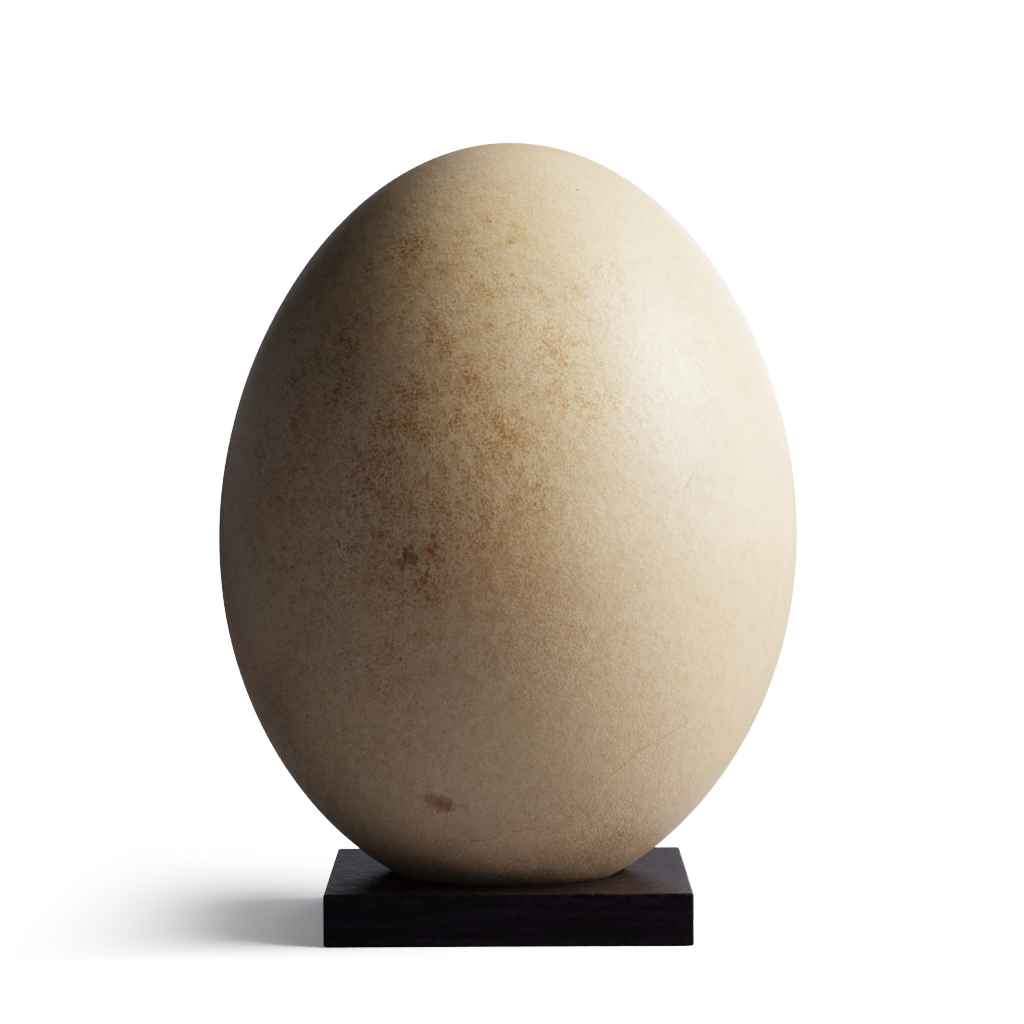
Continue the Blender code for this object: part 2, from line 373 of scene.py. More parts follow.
# Where the shell is stained and tinted, some tints being painted light and shade: the photograph's pixel,
# the radius in millimetres and the strength in percent
stainPlan = {
    "specks": (
        (406, 246, 8, 90), (375, 265, 9, 40), (400, 300, 18, 35), (460, 290, 16, 35), (345, 335, 14, 70),
        (300, 370, 14, 50), (335, 390, 12, 60), (445, 345, 12, 65), (545, 350, 8, 45), (390, 400, 14, 45),
        (440, 400, 16, 45), (360, 440, 16, 50), (400, 470, 20, 45), (460, 450, 18, 45), (500, 430, 14, 50),
        (550, 440, 10, 35), (280, 440, 12, 35), (350, 520, 14, 60), (510, 500, 14, 50), (537, 495, 7, 45),
        (345, 555, 10, 60), (400, 560, 14, 30), (450, 540, 16, 60), (505, 560, 16, 22), (285, 565, 10, 45),
        (325, 590, 12, 35), (400, 600, 12, 45), (390, 660, 16, 30), (570, 640, 22, 25), (520, 320, 16, 20),
        (555, 560, 16, 15), (600, 420, 14, 25), (620, 835, 12, 30), (262, 470, 18, 35), (285, 520, 16, 30),
        (245, 560, 12, 25), (660, 370, 20, 20), (615, 290, 14, 25), (690, 300, 14, 22), (370, 485, 12, 35),
        (475, 530, 9, 25), (600, 340, 12, 12), (600, 395, 10, 25), (640, 300, 14, 20), (575, 290, 10, 10),
        (530, 300, 14, 12), (330, 275, 13, 45), (300, 330, 12, 45), (330, 640, 20, 28), (300, 700, 20, 10),
        (380, 740, 20, 20), (470, 660, 18, 20), (612, 318, 9, 30), (650, 350, 8, 30), (575, 400, 12, 30),
        (560, 355, 8, 30), (655, 360, 12, 35), (640, 395, 12, 30), (430, 480, 16, 30), (310, 480, 14, 25),
        (625, 280, 14, 35), (590, 270, 12, 20), (378, 478, 12, 35), (432, 582, 12, 35), (385, 470, 22, 25),
        (425, 570, 22, 25), (370, 645, 22, 15), (278, 690, 18, 14), (300, 480, 16, 25), (380, 215, 14, 25),
        (315, 410, 22, 28), (275, 470, 16, 25), (265, 700, 16, 12), (430, 470, 22, 15), (480, 290, 20, 16),
        (540, 385, 16, 14), (440, 370, 16, 10), (690, 360, 12, 45), (700, 410, 12, 45), (655, 395, 8, 35),
        (730, 360, 10, 30),
    ),
    "rust": (
        (410, 252, 5, 100), (395, 228, 4, 50), (370, 268, 6, 60), (345, 292, 5, 50), (355, 320, 6, 50),
        (350, 352, 6, 60), (345, 385, 7, 80), (335, 402, 5, 50), (412, 398, 5.5, 90), (412, 425, 6, 100),
        (430, 435, 4.5, 70), (385, 420, 4.5, 60), (458, 420, 4, 95), (470, 390, 6, 75), (466, 368, 4.5, 70),
        (448, 350, 4.5, 50), (435, 335, 4, 60), (495, 415, 5, 80), (510, 435, 6, 85), (545, 440, 4.5, 60),
        (500, 460, 5.5, 55), (385, 465, 6, 90), (360, 465, 5.5, 75), (395, 505, 5.5, 60), (412, 507, 4, 65),
        (440, 500, 4.5, 60), (355, 505, 4.5, 50), (383, 535, 5.5, 80), (425, 565, 4.5, 50),
        (437, 545, 5.5, 70), (422, 585, 4.5, 80), (345, 545, 6, 65), (380, 570, 6, 45), (480, 510, 4.5, 50),
        (480, 545, 4.5, 50), (530, 530, 4.5, 50), (545, 490, 4, 50), (562, 370, 6, 50), (560, 405, 4.5, 50),
        (548, 330, 4, 45), (500, 345, 6, 45), (465, 232, 4, 55), (512, 235, 4.5, 50), (485, 220, 4, 40),
        (478, 285, 4.5, 40), (540, 290, 4.5, 40), (577, 290, 4.5, 55), (615, 275, 4.5, 35),
        (675, 285, 6, 50), (697, 345, 8, 45), (695, 400, 9, 30), (700, 490, 8, 45), (410, 605, 5, 40),
        (380, 680, 6, 40), (395, 655, 6, 35), (290, 570, 5, 40), (295, 390, 6, 40), (430, 800, 5, 50),
        (446, 806, 5, 45), (620, 835, 8, 50), (372, 485, 10, 55), (475, 530, 8, 40), (475, 375, 7, 40),
        (600, 330, 7, 20), (604, 392, 6, 60), (640, 300, 7, 30), (592, 415, 6, 50), (655, 420, 6, 35),
        (508, 238, 4, 60), (560, 292, 6, 45), (325, 280, 6, 40), (415, 245, 7, 60), (409, 238, 3.5, 80),
        (413, 251, 4, 90), (384, 260, 4, 60), (424, 244, 3, 60), (434, 337, 4, 70), (437, 317, 3.5, 50),
        (352, 322, 4, 50), (381, 423, 4.5, 70), (364, 448, 4.5, 60), (297, 427, 4.5, 60), (355, 403, 4, 50),
        (395, 418, 4, 60), (490, 440, 3.5, 70), (517, 476, 4, 60), (538, 489, 3, 90), (541, 509, 2.4, 80),
        (475, 478, 4, 50), (453, 245, 3.5, 45), (446, 268, 4.5, 70), (482, 254, 3, 60), (513, 283, 3, 70),
        (541, 292, 3.5, 75), (546, 303, 3, 60), (570, 250, 3.5, 40), (578, 290, 3, 65), (475, 301, 4, 70),
        (493, 299, 3, 60), (486, 323, 4, 65), (428, 337, 4, 70), (446, 338, 3.5, 65), (486, 367, 4, 65),
        (560, 347, 5.5, 70), (557, 361, 4.5, 65), (522, 321, 3, 60), (407, 392, 4, 50), (424, 392, 3.5, 50),
        (482, 387, 4.5, 60), (508, 387, 4, 50), (526, 389, 4, 60), (555, 392, 4, 60), (393, 396, 4, 40),
        (486, 405, 4, 50), (584, 400, 3.5, 40), (566, 405, 4, 50), (506, 361, 4, 55), (531, 369, 4, 40),
        (389, 374, 4, 40), (407, 356, 4, 45), (418, 376, 4, 45), (683, 352, 5, 70), (705, 372, 5, 60),
        (668, 395, 5, 60), (700, 420, 6, 50), (735, 420, 6, 40), (640, 345, 4, 50), (718, 330, 6, 40),
    ),
    "warm": (
        (410, 430, 34, 85), (430, 270, 24, 75), (360, 470, 18, 60), (400, 555, 20, 80), (480, 350, 20, 60),
        (510, 450, 24, 70), (540, 500, 18, 50), (560, 300, 20, 50), (375, 480, 16, 80), (475, 530, 14, 70),
        (475, 375, 12, 60), (500, 235, 24, 50), (545, 290, 24, 80), (600, 400, 24, 80), (640, 320, 20, 60),
        (425, 575, 14, 60), (378, 478, 14, 60), (400, 740, 20, 50), (380, 640, 26, 60), (275, 700, 20, 60),
        (500, 560, 22, 60), (290, 480, 16, 40),
    ),
    "pink": (
        (300, 400, 18, 80), (345, 320, 13, 70), (280, 470, 16, 70), (300, 580, 14, 60), (540, 570, 18, 35),
        (620, 450, 16, 35), (690, 490, 12, 50), (400, 660, 14, 35), (545, 850, 20, 80), (455, 840, 20, 50),
        (530, 868, 16, 80), (600, 840, 16, 60), (430, 850, 18, 60), (610, 858, 10, 60),
    ),
    # Partly a bluish ground, partly painted light: the clusters at the outlines are a painted cool rim
    # light, those at the bottom painted cool bounce light from the floor.
    "cool": (
        (470, 720, 26, 20), (460, 640, 16, 50), (350, 620, 12, 40), (430, 800, 24, 40), (780, 480, 14, 80),
        (660, 660, 20, 40), (700, 600, 24, 30), (590, 520, 12, 35), (360, 800, 14, 50), (480, 850, 16, 60),
        (770, 600, 16, 80), (600, 190, 24, 60), (226, 530, 14, 80), (775, 575, 16, 50), (385, 825, 16, 50),
        (250, 580, 22, 80), (330, 540, 18, 60), (775, 650, 24, 70), (640, 590, 20, 35), (700, 730, 24, 40),
        (660, 225, 18, 60), (225, 575, 14, 70), (275, 625, 18, 60), (275, 325, 16, 60), (226, 565, 14, 90),
        (262, 600, 16, 60), (240, 620, 14, 40), (530, 325, 14, 50), (575, 325, 10, 40), (525, 275, 12, 35),
        (425, 325, 10, 35), (525, 375, 10, 35),
    ),
    # Mostly a yellower ground; the five small clusters along the right outline are painted shade, which dims
    # and yellows that edge.
    "ivory": (
        (675, 345, 20, 90), (690, 410, 18, 80), (500, 750, 20, 40), (645, 285, 18, 80), (560, 230, 24, 30),
        (265, 420, 16, 60), (725, 440, 18, 70), (680, 350, 16, 40), (725, 400, 16, 60), (598, 360, 16, 80),
        (718, 350, 18, 70), (678, 322, 10, 50), (683, 238, 5, 70), (708, 272, 5, 80), (731, 312, 5, 80),
        (749, 352, 5, 70), (766, 400, 5, 50),
    ),
    # Partly brown patches, partly painted shade: the clusters at the top left and the lower left darken the
    # dark side where the light falls away.
    "duskyAndPaintedShade": (
        (370, 665, 14, 50), (300, 660, 18, 45), (262, 700, 12, 65), (400, 562, 9, 30), (545, 600, 14, 35),
        (590, 590, 12, 20), (345, 250, 13, 80), (378, 215, 18, 95), (430, 170, 12, 80), (705, 400, 10, 45),
        (710, 470, 14, 55), (655, 475, 10, 40), (722, 445, 12, 50), (280, 725, 12, 60), (400, 185, 16, 60),
        (275, 700, 14, 50), (270, 705, 14, 60), (415, 172, 14, 50), (450, 165, 14, 50), (378, 222, 14, 60),
        (475, 168, 12, 45), (272, 725, 12, 50), (672, 272, 12, 35), (385, 212, 12, 60), (405, 725, 20, 35),
        (278, 725, 12, 45), (375, 228, 10, 50), (275, 715, 10, 40), (275, 720, 16, 40), (262, 690, 12, 25),
        (275, 475, 12, 40), (325, 625, 12, 45), (275, 680, 14, 40), (375, 728, 20, 40), (425, 690, 10, 30),
        (330, 770, 12, 25), (425, 575, 10, 30),
    ),
    # Partly a paler ground, partly painted light: a painted highlight about pixel (660, 370), painted bounce
    # light at the foot and painted rim light along the outlines.
    "fairAndPaintedLight": (
        (655, 362, 9, 90), (600, 520, 9, 40), (470, 770, 18, 12), (790, 520, 14, 80), (540, 850, 18, 50),
        (450, 425, 12, 50), (226, 530, 12, 70), (385, 825, 14, 50), (530, 325, 9, 40), (675, 375, 9, 70),
        (240, 570, 12, 50), (560, 860, 14, 90), (490, 860, 14, 60), (550, 868, 10, 90), (600, 866, 10, 60),
        (575, 872, 7, 90), (530, 874, 7, 90), (480, 872, 7, 50), (425, 425, 14, 15), (425, 325, 12, 50),
        (628, 775, 14, 35), (420, 825, 10, 40), (265, 625, 14, 30), (600, 845, 12, 30), (672, 330, 7, 30),
        (662, 392, 7, 35), (690, 380, 8, 25), (525, 330, 12, 15), (720, 325, 8, 25), (480, 310, 18, 14),
        (540, 370, 14, 12),
    ),
    "tan": (
        (425, 425, 36, 20), (390, 560, 32, 22), (520, 565, 22, 45), (375, 475, 12, 40), (275, 705, 20, 45),
        (460, 620, 26, 15), (560, 640, 24, 20), (330, 330, 26, 20), (715, 430, 20, 30), (630, 280, 20, 30),
        (655, 335, 12, 25), (700, 355, 9, 30), (745, 380, 10, 25), (640, 385, 8, 25), (720, 470, 12, 20),
        (678, 300, 13, 40), (625, 275, 10, 25),
    ),
    # Painted light on the foot, where the floor's bounce would light it; the same field brings out the grain
    # there.
    "paintedLightAndWear": (
        (470, 876, 7, 50), (500, 872, 8, 80), (530, 871, 8, 90), (560, 870, 8, 100), (590, 866, 8, 90),
        (612, 858, 7, 50), (600, 835, 12, 35), (625, 840, 8, 30), (625, 852, 7, 50), (618, 866, 9, 60),
        (585, 872, 8, 40),
    ),
    "blots": (
        (290, 480, 24, 80), (265, 410, 18, 60), (258, 570, 16, 50), (330, 400, 16, 60), (345, 560, 18, 60),
        (300, 655, 20, 45), (385, 650, 20, 45), (345, 320, 18, 60), (430, 300, 20, 40), (440, 700, 24, 25),
        (500, 190, 20, 25), (620, 280, 16, 30), (665, 375, 24, 70), (700, 300, 20, 40), (660, 760, 24, 35),
        (560, 640, 24, 30), (250, 480, 26, 60), (300, 720, 26, 40), (330, 700, 26, 50), (400, 760, 22, 40),
        (540, 840, 24, 60), (720, 340, 24, 50), (745, 430, 20, 40), (690, 450, 22, 50), (560, 190, 26, 40),
        (470, 180, 24, 50), (620, 330, 20, 50),
    ),
    "smooth": (
        (655, 460, 14, 60), (700, 520, 26, 80), (640, 560, 22, 70), (745, 540, 18, 80), (600, 400, 12, 90),
        (605, 320, 14, 40), (690, 600, 26, 60), (750, 610, 16, 70), (560, 560, 14, 30), (700, 700, 20, 40),
        (590, 740, 18, 40), (600, 590, 14, 40),
    ),
    "granular": (
        (615, 815, 22, 90), (540, 780, 22, 60), (640, 740, 22, 50), (540, 620, 26, 50), (500, 830, 16, 60),
        (660, 365, 12, 60), (600, 830, 26, 70), (500, 860, 22, 80), (570, 862, 20, 90), (430, 830, 18, 60),
        (606, 840, 11, 90), (665, 400, 10, 50), (590, 850, 14, 80), (540, 830, 16, 50), (400, 830, 18, 60),
        (460, 865, 14, 60), (628, 846, 10, 80), (612, 862, 8, 80),
    ),
}


# The sides that the photograph doesn't show, a guess in the manner of the front: azimuth in degrees and
# height in metres, then radius and strength as above
unseenStains = {
    "specks": (
        (140, 0.21, 34, 50), (175, 0.17, 38, 45), (205, 0.12, 30, 50), (235, 0.2, 26, 45),
        (100, 0.1, 28, 25), (-95, 0.16, 30, 35), (160, 0.08, 26, 35),
    ),
    "rust": (
        (150, 0.22, 14, 60), (180, 0.16, 16, 60), (200, 0.13, 12, 70), (230, 0.19, 12, 50),
        (-100, 0.2, 12, 50),
    ),
    "warm": ((170, 0.18, 50, 80), (220, 0.15, 36, 60)),
    "pink": ((125, 0.12, 36, 60), (-110, 0.11, 34, 60)),
    "cool": ((190, 0.07, 40, 60), (115, 0.22, 34, 50)),
    "duskyAndPaintedShade": ((155, 0.1, 30, 70), (-120, 0.2, 30, 60)),
    "ivory": ((130, 0.24, 34, 60),),
    "blots": ((-100, 0.13, 40, 60), (200, 0.2, 40, 50)),
    "granular": ((180, 0.06, 40, 70), (100, 0.06, 34, 60)),
}


def paintField(piece, name):
    # A value from 0 to 1 at each point of the mesh, high near the clusters
    mesh = piece.data
    places = np.empty(len(mesh.vertices) * 3)
    mesh.vertices.foreach_get("co", places)
    places = places.reshape(-1, 3)
    clear = np.ones(len(places))
    clusters = [(seenAt(piece, entry[:2])[0], *entry[2:]) for entry in stainPlan[name]]
    clusters += [(aroundAt(piece, *entry[:2]), *entry[2:]) for entry in unseenStains.get(name, ())]
    for centre, radius, strength in clusters:
        away = np.linalg.norm(places - np.array(centre), axis=1) / (radius / 1000)
        clear *= 1.0 - strength / 100 * np.exp(-away**2)
    field = mesh.attributes.new(name, "FLOAT", "POINT")
    field.data.foreach_set("value", 1.0 - clear)


# The shell's colours, linear, and the sizes of its marks in millimetres. Tints and stains multiply the
# ground. A range is where a pattern's noise begins to show and where it is full.
shellFinish = {
    "ground": (0.526, 0.396, 0.250, 1.0),
    "pale": (1.05, 1.06, 1.08, 1.0),
    "warm": (1.01, 1.00, 0.96, 1.0),
    "pink": (1.01, 0.96, 0.98, 1.0),
    # partly painted: a cool rim light at the outlines and cool bounce light at the bottom
    "cool": (0.96, 1.01, 1.07, 1.0),
    "ivory": (0.98, 1.0, 0.87, 1.0),
    # partly painted shade on the dark side
    "duskyAndPaintedShade": (0.85, 0.86, 0.91, 1.0),
    # partly painted light: a highlight, bounce light at the foot and rim light at the outlines
    "fairAndPaintedLight": (1.16, 1.17, 1.15, 1.0),
    # painted light on the foot
    "paintedLightAndWear": (1.28, 1.38, 1.56, 1.0),
    "tan": (0.92, 0.85, 0.76, 1.0),
    "earthy": (0.97, 0.92, 0.86, 1.0),
    "brownStain": (0.60, 0.46, 0.35, 1.0),
    "rustStain": (0.665, 0.435, 0.245, 1.0),
    "blotStain": (0.60, 0.53, 0.46, 1.0),
    "fleck": (1.46, 1.44, 1.38, 1.0),
    "cloudSize": 5.0,
    "cloudFrom": 0.42,
    "cloudDepth": 0.42,
    "speckRange": (0.45, 0.64),
    "speckDepth": 0.32,
    "dotSize": 0.9,
    "dotRange": (0.545, 0.645),
    "dotDepth": 0.62,
    "dotEverywhere": 0.32,
    "dotShift": (31.0, 17.0, 5.0),
    "drawnOut": (1.0, 0.6, 0.9),
    "turned": (0.5, 0.3, 0.8),
    "groupSize": 4.0,
    "groupShare": 0.27,
    "rustShare": 0.074,
    "rustDots": 0.38,
    "patchSize": 5.0,
    "patchRange": (0.38, 0.66),
    "patchDepth": 0.15,
    "driftSize": 30.0,
    "driftRange": (0.4, 0.7),
    "driftDepth": 0.15,
    "toneSize": 5.0,
    "toneRange": (0.36, 0.66),
    "mottleSize": 0.55,
    "mottleRange": (0.35, 0.65),
    "mottleSwing": (-0.14, 0.15),  # how much darker and lighter than the ground
    "smoothCalm": 0.65,  # share of the mottle that goes where the shell is smooth
    "poreDepth": 0.34,
    "poreSink": 0.25,
    "grainSize": 0.85,
    "grainHeight": 0.50,
    "granularHeight": 1.15,
    "smoothHeight": 0.34,
    "grainUnderPaintedLight": 1.8,
    "footGrain": 0.5,
    "grainDepth": 0.00017,
    "swellSize": 4.0,
    "swellHeight": 1.2,
    "roughRange": (0.3, 0.7),
    "roughness": (0.36, 0.50),
    "polish": 0.12,  # how much glossier the granular places are
}
blotSize = {"Cell": 2.1, "Radius": 0.46, "Share": 0.7, "Raggedness": 0.9, "Softness": 0.32}
poreSize = {"Cell": 1.3, "Radius": 0.20, "Share": 0.55, "Raggedness": 0.2, "Softness": 0.16}
fleckSize = {"Cell": 2.0, "Radius": 0.34, "Share": 0.7, "Raggedness": 0.9, "Softness": 0.15}

# Single marks. Spots are a pixel of the photograph and a radius, streaks two pixels and a width, in
# millimetres. A mark's spots and streaks run into one another, and its tint multiplies the shell.
markPlan = {
    "stain beside the large scar": {
        "tint": (0.8, 0.6, 0.42),
        "softness": 0.9,
        "spots": (
            (430, 550, 2.8), (436, 545, 2.4), (433, 538, 1.8), (425, 581, 2), (428, 576, 1.6),
            (418, 571, 1.6), (382, 535, 2),
        ),
    },
    "large scar": {
        "tint": (0.56, 0.48, 0.45),
        "softness": 0.5,
        "spots": ((411, 547, 1.7), (410, 558, 2.9), (413, 560, 2.3), (407, 555, 2.2)),
    },
    "large scar's dark side": {
        "tint": (0.52, 0.44, 0.38),
        "softness": 0.8,
        "spots": ((403, 565, 2.1), (402, 569, 1.6), (399, 561, 1.7), (405, 551, 1.6)),
        "streaks": ((405, 546, 403, 570, 1.5),),
    },
    "large scar's middle": {"tint": (1.3, 1.25, 1.24), "softness": 1, "spots": ((409, 559, 2.2),)},
    "dark dots": {
        "tint": (0.58, 0.48, 0.41),
        "softness": 0.7,
        "spots": ((391, 563, 0.9), (404, 537, 0.7), (378, 550, 0.6), (415, 601, 0.8)),
    },
    "rusty dots": {
        "tint": (0.75, 0.6, 0.45),
        "softness": 0.7,
        "spots": (
            (436, 546, 0.9), (429, 550, 1), (458, 547, 0.9), (425, 582, 1), (414, 607, 1), (387, 610, 0.8),
        ),
        "streaks": (
            (419, 561, 424, 564, 0.5), (424, 564, 431, 564, 0.5), (432, 560, 436, 553, 0.45),
            (407, 568, 418, 569, 0.5), (410, 543, 415, 538, 0.4), (382, 577, 391, 588, 0.5),
            (433, 583, 438, 593, 0.5),
        ),
    },
    "ochre patches": {
        "tint": (0.94, 0.84, 0.68),
        "softness": 1,
        "spots": (
            (468, 234, 3.4), (511, 241, 3), (515, 226, 2.6), (481, 285, 2.4), (546, 299, 2.2),
            (500, 260, 2.4), (479, 217, 2.6), (563, 363, 3), (566, 400, 3),
        ),
    },
    "orange dots": {
        "tint": (0.8, 0.64, 0.46),
        "softness": 0.9,
        "spots": (
            (490, 222, 1.4), (510, 243, 1.4), (541, 291, 1.6), (577, 287, 1.6), (586, 297, 1.1),
            (512, 275, 1.2), (472, 277, 1.3), (490, 325, 1.4), (540, 349, 1.2), (574, 345, 1.2),
            (565, 364, 1.4), (616, 408, 1.2), (606, 425, 1.2),
        ),
        "streaks": (
            (542, 328, 554, 329, 0.6), (506, 325, 516, 323, 0.5), (559, 274, 571, 271, 0.5),
            (485, 214, 489, 224, 0.5), (533, 286, 541, 291, 0.6), (685, 489, 694, 473, 0.7),
            (568, 526, 569, 540, 0.5),
        ),
    },
    "low scar's border": {
        "tint": (0.86, 0.7, 0.62),
        "softness": 0.8,
        "spots": ((428, 799, 3.4), (438, 804, 5.2), (447, 807, 4.2)),
    },
    "low scar": {
        "tint": (0.78, 0.76, 0.76),
        "softness": 0.4,
        "spots": ((433, 800, 4), (439, 802, 5), (446, 804, 4)),
    },
    "low stain": {"tint": (0.88, 0.83, 0.8), "softness": 1, "spots": ((464, 806, 3.2), (421, 796, 1.8))},
    "pinhole": {"tint": (0.5, 0.44, 0.38), "spots": ((577, 190, 0.9),)},
    "ochre dash": {"tint": (0.86, 0.72, 0.5), "softness": 0.8, "spots": ((648, 583, 1),)},
    "scratches": {
        "tint": (0.74, 0.6, 0.5),
        "streaks": (
            (432, 842, 457, 840, 0.5), (461, 841, 490, 840, 0.5), (487, 840, 502, 834, 0.45),
            (512, 832, 541, 826, 0.4), (607, 778, 650, 742, 0.4), (636, 752, 690, 719, 0.5),
        ),
    },
    "short dark scratches": {
        "tint": (0.64, 0.6, 0.56),
        "streaks": ((559, 646, 560, 653, 0.4), (531, 347, 533, 352, 0.4), (596, 342, 598, 346, 0.4)),
    },
    "pale scratches": {
        "tint": (1.32, 1.32, 1.32),
        "streaks": (
            (556, 645, 557, 652, 0.4), (509, 655, 516, 677, 0.35), (519, 639, 523, 642, 0.4),
            (530, 644, 538, 643, 0.35), (575, 521, 579, 529, 0.4), (609, 707, 617, 708, 0.4),
            (600, 788, 608, 787, 0.4), (540, 625, 549, 626, 0.4), (552, 596, 555, 601, 0.35),
            (600, 690, 605, 697, 0.35), (583, 597, 590, 604, 0.35), (487, 191, 488, 197, 0.4),
            (468, 208, 469, 213, 0.35),
        ),
    },
}


def addMarks(tree, place, colour):
    # Lays the single marks over a colour
    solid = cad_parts["egg"]
    wander = cloudy(tree, place, 1.6, detail=3.0)
    for mark in markPlan.values():
        masks = []
        softness = mark.get("softness", 0.4)
        shared = {"Place": place, "Wander": wander}
        for *pixel, radius in mark.get("spots", ()):
            centre = seenAt(solid, pixel)[0] * 1000
            feeds = {**shared, "Centre": centre, "Radius": radius, "Softness": softness}
            masks.append(placed(tree, spot, feeds)["Mask"])
        for *ends, width in mark.get("streaks", ()):
            first, outward = seenAt(solid, ends[:2])
            last = seenAt(solid, ends[2:])[0]
            feeds = {
                **shared,
                "Middle": (first + last) * 500,
                "Side": (last - first).cross(outward).normalized(),
                "Length": (last - first).length * 1000,
                "Width": width,
            }
            masks.append(placed(tree, streak, feeds)["Mask"])
        joined = masks[0]
        for mask in masks[1:]:
            joined = sums(tree, "MAXIMUM", joined, mask)
        colour = mixed(tree, joined, colour, (*mark["tint"], 1.0), "MULTIPLY")
    return colour


def shellMaterial():
    material, tree, shader, place = newMaterial("aged eggshell")
    finish = shellFinish
    painted = {}
    for name in stainPlan:
        painted[name] = addNode(tree, "ShaderNodeAttribute", attribute_name=name).outputs["Fac"]

    # The patterns are drawn out a little up and down, and turned so that none of them lies level
    drawn = vectorSums(tree, "MULTIPLY", place, finish["drawnOut"])
    feeds = {"Vector": drawn, "Rotation": finish["turned"]}
    drawn = addNode(tree, "ShaderNodeVectorRotate", feeds, rotation_type="EULER_XYZ").outputs[0]

    # The ground's slow changes of tint. Some of the tints are painted light and shade: a highlight, rim and
    # bounce light, light on the foot, and shade on the dark side
    colour = mixed(tree, painted["specks"], finish["ground"], finish["pale"], "MULTIPLY")
    for tint in ("warm", "pink", "cool", "ivory", "duskyAndPaintedShade", "fairAndPaintedLight", "tan", "paintedLightAndWear"):
        colour = mixed(tree, painted[tint], colour, finish[tint], "MULTIPLY")
    drift = cloudy(tree, drawn, finish["driftSize"], detail=3.0)
    drifting = eased(tree, drift, *finish["driftRange"], 0.0, finish["driftDepth"])
    colour = mixed(tree, drifting, colour, finish["pink"], "MULTIPLY")
    tone = cloudy(tree, drawn, finish["toneSize"], detail=4.0, roughness=0.8)
    colour = mixed(tree, eased(tree, tone, *finish["toneRange"]), colour, finish["earthy"], "MULTIPLY")
    mottle = cloudy(tree, drawn, finish["mottleSize"], roughness=0.9)
    calm = sums(tree, "MULTIPLY_ADD", painted["smooth"], -finish["smoothCalm"], 1.0)
    swing = eased(tree, mottle, *finish["mottleRange"], *finish["mottleSwing"])
    colour = scaled(tree, colour, sums(tree, "MULTIPLY_ADD", swing, calm, 1.0))

    # Clouds of stain and fine specks everywhere, crisper dots in groups, and rust patches
    clouds = cloudy(tree, drawn, finish["cloudSize"], detail=4.0, roughness=0.9)
    groups = cloudy(tree, drawn, finish["groupSize"], detail=1.0, roughness=1.0)
    away = vectorSums(tree, "ADD", drawn, finish["dotShift"])
    dots = cloudy(tree, away, finish["dotSize"], detail=1.0, roughness=0.9)
    dots = sums(tree, "MULTIPLY_ADD", sums(tree, "SUBTRACT", groups, 0.5), finish["groupShare"], dots)
    dots = sums(tree, "MULTIPLY_ADD", painted["rust"], finish["rustShare"], dots)
    clouded = sums(tree, "SUBTRACT", clouds, finish["cloudFrom"])
    clouded = sums(tree, "MULTIPLY", clouded, finish["cloudDepth"], clamp=True)
    specked = sums(tree, "MULTIPLY", eased(tree, clouds, *finish["speckRange"]), finish["speckDepth"])
    dotted = sums(tree, "MULTIPLY", eased(tree, dots, *finish["dotRange"]), finish["dotDepth"])
    lively = sums(tree, "ADD", painted["specks"], finish["dotEverywhere"])
    lively = sums(tree, "MULTIPLY_ADD", painted["rust"], finish["rustDots"], lively)
    density = sums(tree, "MULTIPLY_ADD", dotted, lively, clouded)
    density = sums(tree, "MULTIPLY_ADD", specked, painted["specks"], density)
    patches = cloudy(tree, drawn, finish["patchSize"], detail=3.0, roughness=0.7)
    patches = eased(tree, patches, *finish["patchRange"], 0.0, finish["patchDepth"])
    density = sums(tree, "MULTIPLY_ADD", painted["rust"], patches, density, clamp=True)
    stain = mixed(tree, painted["warm"], finish["brownStain"], finish["rustStain"])
    colour = mixed(tree, density, colour, stain, "MULTIPLY")

    # Larger faint blots, dark pores, pale flecks, and the single marks
    blots = placed(tree, specks, {"Place": drawn, **blotSize})["Mask"]
    blotted = sums(tree, "MULTIPLY", blots, painted["blots"])
    colour = mixed(tree, blotted, colour, finish["blotStain"], "MULTIPLY")
    pores = placed(tree, specks, {"Place": away, **poreSize})["Mask"]
    colour = scaled(tree, colour, sums(tree, "MULTIPLY_ADD", pores, -finish["poreDepth"], 1.0))
    flecks = placed(tree, specks, {"Place": away, **fleckSize})["Mask"]
    flecked = sums(tree, "MULTIPLY", flecks, painted["granular"])
    colour = mixed(tree, flecked, colour, finish["fleck"], "MULTIPLY")
    grain = cloudy(tree, drawn, finish["grainSize"], detail=3.0, roughness=0.75)
    # The grain shows more under the painted light on the foot and in the granular places
    worn = sums(tree, "MULTIPLY", painted["paintedLightAndWear"], finish["grainUnderPaintedLight"])
    worn = sums(tree, "MULTIPLY_ADD", painted["granular"], finish["footGrain"], worn)
    colour = scaled(tree, colour, sums(tree, "MULTIPLY_ADD", sums(tree, "SUBTRACT", grain, 0.5), worn, 1.0))
    colour = addMarks(tree, place, colour)

    # Fine grain over slow swells, rough in the granular places and low in the smooth ones, and sunk pores
    swells = cloudy(tree, drawn, finish["swellSize"])
    depth = sums(tree, "MULTIPLY_ADD", painted["granular"], finish["granularHeight"], finish["grainHeight"])
    depth = sums(tree, "MULTIPLY_ADD", painted["smooth"], -finish["smoothHeight"], depth)
    height = sums(tree, "MULTIPLY", grain, depth)
    height = sums(tree, "MULTIPLY_ADD", swells, finish["swellHeight"], height)
    height = sums(tree, "MULTIPLY_ADD", pores, -finish["poreSink"], height)
    rough = eased(tree, mottle, *finish["roughRange"], *finish["roughness"])
    rough = sums(tree, "MULTIPLY_ADD", painted["granular"], -finish["polish"], rough)
    surfaced(tree, shader, colour, height, finish["grainDepth"], rough)
    return material


